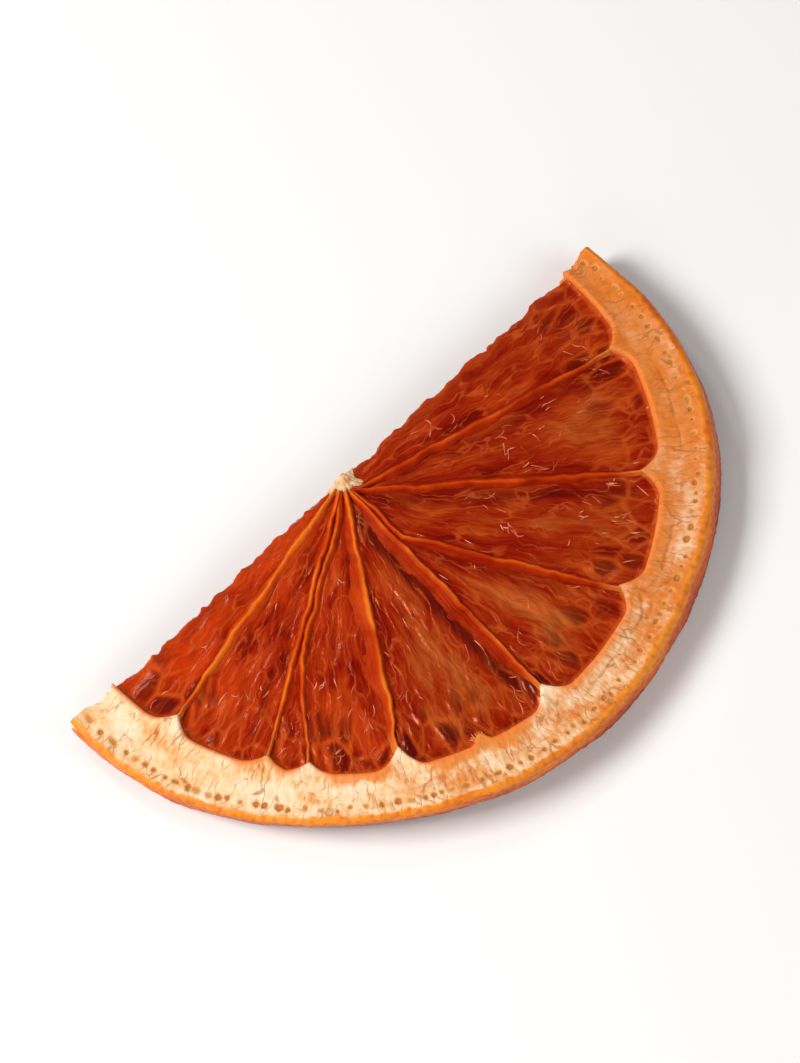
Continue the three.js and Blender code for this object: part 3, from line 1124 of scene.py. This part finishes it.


# %% [markdown]
# Dried pith is cellulose foam: cream, dull and full of air, so light sinks in and comes out again. It
# dries with fine tan cracks that run mostly across the band. Towards the right end it is darker and
# more orange in flecks and patches: partly its own colour, and partly painted shade for the light that
# falls from the left. Juice has stained it along the flesh. Real cracks are finer than the ones here,
# which are as coarse as they need to be to show.

# %% Pith, on the rind's material
rind_material, tree = new_tree("dried rind, pith and zest")
band = add(tree, "ShaderNodeAttribute", output="Vector", attribute_name="band")
from_left = add(tree, "ShaderNodeAttribute", output="Fac", attribute_name="round")
patches = streaks(tree, band, (5, 3, 3))
mottle = streaks(tree, band, (0.5, 0.9, 0.9))
loose = wandering(tree, band, size=1.6, reach=0.7)
short_cracks = cell_lines(tree, loose, (1.3, 4.5, 3), width=0.09)
crack_patches = streaks(tree, band, (2.2, 2.2, 2.2), detail=1.0)

# The pith's tone falls towards the right end: painted shade.
pith_tone = weighed(tree, [(patches, 0.7), (mottle, 0.35), (from_left, -0.16)])
pith_stops = [(0.26, "#DA8438"), (0.38, "#EBAF72"), (0.5, "#F4CD9E"), (0.66, "#F8DFBC")]
pith = add(tree, "ShaderNodeValToRGB", {"Fac": pith_tone}, stops=pith_stops)
# Orange flecks and patches towards the right end: partly the pith's own colour, partly painted shade.
orange_and_shade_right = weighed(tree, [(from_left, 0.8), (patches, -0.9), (mottle, -0.45)])
pith = layer(tree, pith, "#DC7010", orange_and_shade_right, low=-0.47, high=-0.1, most=0.76)
cracks = weighed(tree, [(short_cracks, 1.0), (crack_patches, 2.0)])
pith = layer(tree, pith, "#B0642A", cracks, low=1.55, high=2.1, most=0.66)
for name, code, high, most in (
    ("crease", "#A05A20", 0.25, 0.7),
    ("stain", "#E4822E", 0.9, 0.85),
    ("juicy_edge", "#EE7A30", 1.0, 0.8),
):
    number = add(tree, "ShaderNodeAttribute", output="Fac", attribute_name=name)
    pith = layer(tree, pith, code, number, 0.0, high, most)

# %% [markdown]
# The zest is waxy and orange. It is yellower and lighter along its upper edge and redder and darker
# lower down: partly its own colour, and partly a painted highlight on the edge and painted shade
# towards the foot. It is darker in each dimple, drawn in fine lines along the rim, and darker towards
# the right end, which is painted shade. Each cut gland is a brown ring, paler outside, where its oil
# has soaked out, and in the middle, where its floor catches light.

# %% Zest and glands
upward_share, dimple_share, zest_share, gland_share = [
    add(tree, "ShaderNodeAttribute", output="Fac", attribute_name=name)
    for name in ("upward", "dimple", "zest", "gland")
]
zest_grain = streaks(tree, band, (1.1, 0.35, 0.35), detail=4.0)
zest_patches = streaks(tree, band, (9, 4, 3), detail=2.0)
# upward_share lightens the upper edge, partly as a painted highlight, and from_left darkens the right
# end as painted shade.
zest_parts = [(upward_share, 0.46), (zest_patches, 0.55), (zest_grain, 0.36), (from_left, -0.1)]
zest_stops = [(0.46, "#983404"), (0.58, "#C24A06"), (0.72, "#DC680C"), (0.9, "#F4921C")]
zest = add(tree, "ShaderNodeValToRGB", {"Fac": weighed(tree, zest_parts)}, stops=zest_stops)
zest = layer(tree, zest, "#A84008", dimple_share, low=0.0, high=1.0, most=0.35)
rind_face = layer(tree, pith, zest, zest_share, low=0.0, high=1.0)
rind_face = layer(tree, rind_face, "#E4A45C", gland_share, low=0.0, high=0.3, most=0.7)
rind_face = layer(tree, rind_face, "#B05E14", gland_share, low=0.25, high=0.7, most=0.85)
rind_face = layer(tree, rind_face, "#D08C44", gland_share, low=0.8, high=1.0, most=0.6)

# %% Finish the rind
pith_light = {
    "IOR": 1.45,
    "Specular IOR Level": 0.3,
    "Subsurface Weight": 0.25,
    "Subsurface Radius": (1.0, 0.6, 0.3),
    "Subsurface Scale": 0.8 * MM,
}
roughness_ends = {"Value": zest_share, "To Min": 0.8, "To Max": 0.45}
rind_roughness = add(tree, "ShaderNodeMapRange", roughness_ends)
rind_surface = {"Base Color": rind_face, "Roughness": rind_roughness, **pith_light}
rind_relief = weighed(tree, [(mottle, 0.8), (short_cracks, -0.12), (zest_grain, 0.5)])
finish_material(rind, rind_material, tree, rind_surface, rind_relief, depth=0.09 * MM)

# %% [markdown]
# Dried pulp is juice that has set to dark red glass between the sacs' thin walls. It is clear and deep:
# brown-orange in the middle of a segment, where the sheet is thinnest and light comes through, which is
# painted here as a lighter colour, blood red along the skins, and nearly black in the fullest sacs.
# Fine lines flow along the sacs, from the core outwards. All patterns are drawn on the fan of sacs, so
# they point the way the sacs grow. The fibres are drawn about twice as coarse as they are.
# Most of the gloss is tinted, because on this glass light comes back from inside the red
# juice. Only a thin clear coat gives white glints.

# %% The juice, on the pulp's material
pulp_material, tree = new_tree("dried grapefruit pulp, glassy")
fan = add(tree, "ShaderNodeAttribute", output="Vector", attribute_name="fan")
thin_glow, full, vivid = [
    add(tree, "ShaderNodeAttribute", output="Fac", attribute_name=name)
    for name in ("thin_glow", "full", "vivid")
]
flowing = wandering(tree, fan, size=4.5, reach=1.7)
clouds = streaks(tree, flowing, (2.4, 7, 3), detail=2.0)
fibres = streaks(tree, flowing, (0.36, 3.6, 1.0), detail=2.0)
# The thin middles are lighter: a painted glow of the light that comes through.
juice_tone = weighed(tree, [(clouds, 0.75), (fibres, 0.38), (thin_glow, 0.34)])
juice_stops = [
    (0.4, "#700A02"),
    (0.52, "#921602"),
    (0.66, "#A03008"),
    (0.82, "#AC4E1C"),
    (1.0, "#C8642C"),
]
flesh = add(tree, "ShaderNodeValToRGB", {"Fac": juice_tone}, stops=juice_stops)
# How vivid a segment is: the redder left segments are partly their own colour, the duller right ones
# partly a painted haze of reflected light.
bright_juice = weighed(tree, [(clouds, 1.5), (fibres, 0.5), (vivid, 0.7)])
flesh = layer(tree, flesh, "#CE3A08", bright_juice, low=1.1, high=1.9, most=0.8)
flesh = layer(tree, flesh, "#4A0606", full, low=0.1, high=0.9, most=0.8)

# %% [markdown]
# Only some of the walls between sacs show, as soft paler lines, most of all round the sacs'
# blunt ends near the rind.

# %% The walls of the sacs
walls = cell_lines(tree, wandering(tree, flowing, size=1.4, reach=0.45), (1.7, 7.5, 2.4), width=0.1)
wall_patches = streaks(tree, fan, (2.5, 4, 3), detail=1.0)
shown = weighed(tree, [(walls, 1.0), (wall_patches, 2.2)])
flesh = layer(tree, flesh, "#CC5A22", shown, low=1.6, high=2.4, most=0.55)
for name, code, low, high, most in (
    ("sac_ends", "#D2621E", 0.1, 1.0, 0.5),
    ("to_rind", "#D85E1C", 0.6, 0.1, 0.65),
    ("cut", "#C05828", 0.0, 1.0, 0.35),
    ("pocket", "#740E04", 0.1, 0.9, 0.6),
    ("covered", "#9C2008", 0.0, 1.0, 0.6),
):
    number = add(tree, "ShaderNodeAttribute", output="Fac", attribute_name=name)
    flesh = layer(tree, flesh, code, number, low, high, most)

# %% Finish the pulp
pulp_surface = {
    "Base Color": flesh,
    "Roughness": 0.24,
    "IOR": 1.48,
    "Specular IOR Level": 0.35,
    "Specular Tint": "#FF9A6A",
    "Subsurface Weight": 0.5,
    "Subsurface Radius": (1.0, 0.2, 0.06),
    "Subsurface Scale": 1.4 * MM,
    "Coat Weight": 0.14,
    "Coat Roughness": 0.06,
}
pulp_relief = weighed(tree, [(walls, 0.4), (fibres, 0.4), (clouds, 1.0)])
finish_material(pulp, pulp_material, tree, pulp_surface, pulp_relief, depth=0.08 * MM)

# %% [markdown]
# The skins are tough dried membrane, like thin parchment soaked in syrup: smooth, satin and
# see-through. Their feet take the red of the flesh below, and the crest, where the fold is
# thickest, is bright orange. Faint lines run along them, and each ends in the pale orange of
# stained pith where it runs into the rind.

# %% Skin material
skin_material, tree = new_tree("dried segment skin, translucent")
ribbon = add(tree, "ShaderNodeAttribute", output="Vector", attribute_name="ribbon")
crest_share, along_share, skin_vivid = [
    add(tree, "ShaderNodeAttribute", output="Fac", attribute_name=name)
    for name in ("crest", "along", "vivid")
]
skin_lines = streaks(tree, ribbon, (5, 0.3, 1))
skin_patches = streaks(tree, ribbon, (3, 2, 1), detail=2.0)
# The skins take their segment's vividness, which on the right is partly painted haze.
skin_parts = [(crest_share, 0.55), (skin_lines, 0.25), (skin_patches, 0.5), (skin_vivid, 0.22)]
skin_stops = [(0.38, "#8E1802"), (0.54, "#AC2C06"), (0.76, "#CA460E"), (1.0, "#EC701E")]
membrane = add(tree, "ShaderNodeValToRGB", {"Fac": weighed(tree, skin_parts)}, stops=skin_stops)
membrane = layer(tree, membrane, "#EE8236", along_share, low=0.9, high=1.0)
skin_surface = {
    "Base Color": membrane,
    "Roughness": 0.4,
    "IOR": 1.46,
    "Specular IOR Level": 0.15,
    "Specular Tint": "#FF9A6A",
    "Subsurface Weight": 0.5,
    "Subsurface Radius": (1.0, 0.35, 0.12),
    "Subsurface Scale": 0.8 * MM,
}
finish_material(segment_skins, skin_material, tree, skin_surface, skin_lines, depth=0.12 * MM)

# %% [markdown]
# The core is the same dried pith as in the rind, but browner in its hollows, and orange along
# the arms where the skins' juice has soaked in. It is nearly as matt as the rind's pith.

# %% Core material
core_material, tree = new_tree("dried core pith")
own_place = add(tree, "ShaderNodeTexCoord", output="Object")
in_mm = add(tree, "ShaderNodeMapping", {"Vector": own_place, "Scale": (1 / MM,) * 3})
core_mottle = streaks(tree, in_mm, (0.8, 0.8, 0.8))
core_stops = [(0.3, "#B87440"), (0.46, "#DCA874"), (0.66, "#EFCFA6")]
core_pith = add(tree, "ShaderNodeValToRGB", {"Fac": core_mottle}, stops=core_stops)
arm_share = add(tree, "ShaderNodeAttribute", output="Fac", attribute_name="arms")
core_colour = layer(tree, core_pith, "#DC8444", arm_share, low=0.5, high=1.0, most=0.7)
core_surface = {"Base Color": core_colour, "Roughness": 0.7, **pith_light}
finish_material(core, core_material, tree, core_surface, core_mottle, depth=0.15 * MM)

# %% [markdown]
# A raised sac wall is a shred of clear membrane, wet-looking from the juice that dried on it. It is
# pinker and paler than the flesh, some shreds more than others: partly the membrane's own colour and
# partly a painted highlight, and its gloss adds real glints. The fibres of the tuft are pith that has
# soaked up juice: matt and orange all over.

# %% Ridge and tuft materials
ridge_material, tree = new_tree("dried juice sac wall")
pale_share = add(tree, "ShaderNodeAttribute", output="Fac", attribute_name="pale")
ridge_stops = [(0.0, "#A83A1C"), (0.6, "#CC6440"), (1.0, "#EA9E7E")]
ridge_surface = {
    "Base Color": add(tree, "ShaderNodeValToRGB", {"Fac": pale_share}, stops=ridge_stops),
    "Roughness": 0.25,
    "IOR": 1.48,
    "Specular IOR Level": 0.4,
    "Specular Tint": "#FFC0A0",
    "Coat Weight": 0.2,
    "Coat Roughness": 0.08,
}
finish_material(sac_ridges, ridge_material, tree, ridge_surface)

tuft_material, tree = new_tree("dried pith fibre")
tuft_surface = {"Base Color": "#F08A48", "Roughness": 0.5, "IOR": 1.45}
finish_material(fibre_tuft, tuft_material, tree, tuft_surface)

# %% [markdown]
# ## The pieces in the frame
# The slice has no moving parts, so every piece rides on the root of the part. The rind stands in for
# the CAD solid in the picture, which is hidden.

# %% Tie the pieces to the frame
for piece in (rind, pulp, segment_skins, core, sac_ridges, fibre_tuft):
    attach(piece, "root")
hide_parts("grapefruit_slice")

# %% [markdown]
# ## Floor, camera and light
# The slice lies on a sheet of white paper, which is matt and shows only soft shadows. The
# camera looks steeply down with a long lens, and is aimed so that the slice fills the middle of
# the picture. A glassy surface mirrors whatever stands opposite the camera, so the large soft
# lights are kept to the sides, or they would lay a grey haze over the dark flesh.

# %% Floor
FLOOR_SIZE = 4

bpy.ops.mesh.primitive_plane_add(size=FLOOR_SIZE, location=(0, 0, 0))
floor = bpy.context.object
floor.name = "floor"
floor_material, tree = new_tree("white paper sweep")
finish_material(floor, floor_material, tree, {"Base Color": "#F4F3F1", "Roughness": 0.8})

# %% Camera
CAMERA_AZIMUTH = math.radians(-45)
CAMERA_ELEVATION = math.radians(68)
CAMERA_DISTANCE = 0.62
CAMERA_LENS = 182


def seen_from(azimuth, elevation, distance):
    """A place round the slice: azimuth 0 is in front of the rind, and it grows anticlockwise."""
    flat_distance = distance * math.cos(elevation)
    x = math.sin(azimuth) * flat_distance
    y = -math.cos(azimuth) * flat_distance
    return Vector((x, y, distance * math.sin(elevation)))


def middle_in_view(points, azimuth, elevation):
    """The middle of the points as they look from this side."""
    right = np.array([math.cos(azimuth), math.sin(azimuth), 0])
    towards = np.array(seen_from(azimuth, elevation, 1))
    up = np.cross(towards, right)
    middle = np.zeros(3)
    for axis in (right, up):
        shares = points @ axis
        middle += axis * (shares.min() + shares.max()) / 2
    return Vector(middle)


aim = middle_in_view(read_points(rind), CAMERA_AZIMUTH, CAMERA_ELEVATION)
bpy.ops.object.camera_add(location=aim + seen_from(CAMERA_AZIMUTH, CAMERA_ELEVATION, CAMERA_DISTANCE))
camera = bpy.context.object
camera.name = "camera"
camera.data.lens = CAMERA_LENS
camera.rotation_euler = (aim - camera.location).to_track_quat("-Z", "Y").to_euler()
bpy.context.scene.camera = camera
bpy.context.scene.view_settings.view_transform = "Standard"

# %% Light
WORLD_STRENGTH = 0.14

world = bpy.data.worlds.new("studio")
bpy.context.scene.world = world
world.use_nodes = True
background = world.node_tree.nodes["Background"]
background.inputs["Color"].default_value = (1, 1, 1, 1)
background.inputs["Strength"].default_value = WORLD_STRENGTH


def soft_light(name, turn, height, distance, size, power):
    """A square studio light, turned this far round from the camera, in degrees."""
    place = seen_from(CAMERA_AZIMUTH + math.radians(turn), math.radians(height), distance)
    bpy.ops.object.light_add(type="AREA", location=place)
    light = bpy.context.object
    light.name = name
    light.data.size = size
    light.data.energy = power
    light.rotation_euler = (-place).to_track_quat("-Z", "Y").to_euler()


soft_light("key", turn=-80, height=46, distance=0.6, size=0.25, power=3.4)
soft_light("glint", turn=-131, height=50, distance=0.6, size=0.08, power=0.3)
soft_light("fill", turn=70, height=42, distance=0.7, size=0.5, power=1.6)
soft_light("front", turn=-10, height=30, distance=0.7, size=0.4, power=0.8)
